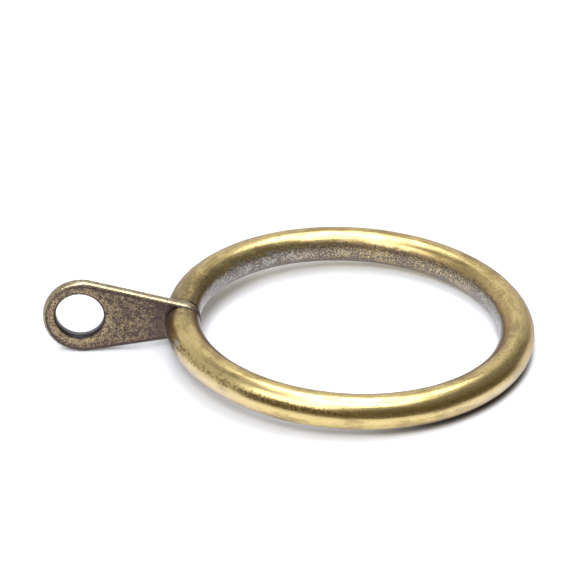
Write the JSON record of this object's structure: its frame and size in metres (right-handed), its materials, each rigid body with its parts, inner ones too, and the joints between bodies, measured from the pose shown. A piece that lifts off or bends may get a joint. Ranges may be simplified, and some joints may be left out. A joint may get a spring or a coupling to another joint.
{
  "type": "curtain ring with eyelet",
  "caption": "Round tubular curtain ring in antique brass finish with a fixed flat teardrop eyelet plate for a curtain hook.",
  "frame": {"origin": "centre of the ring, on its axis and halfway through the tube", "axes": "+Z along the ring's axis, where the curtain rod runs; +X from the eyelet towards the ring's far side, so the eyelet points along -X; +Y across, square to the eyelet plate"},
  "size_m": [0.0625, 0.047, 0.01],
  "materials": {
    "ring_brass": "antique satin",
    "plate_brass": "dark antique, rubbed through on the edges",
    "pin_brass": "plain"
  },
  "bodies": {
    "root": {"ring_tube": "ring_brass", "eyelet_plate": "plate_brass", "joining_pin": "pin_brass"}
  },
  "joints": []
}
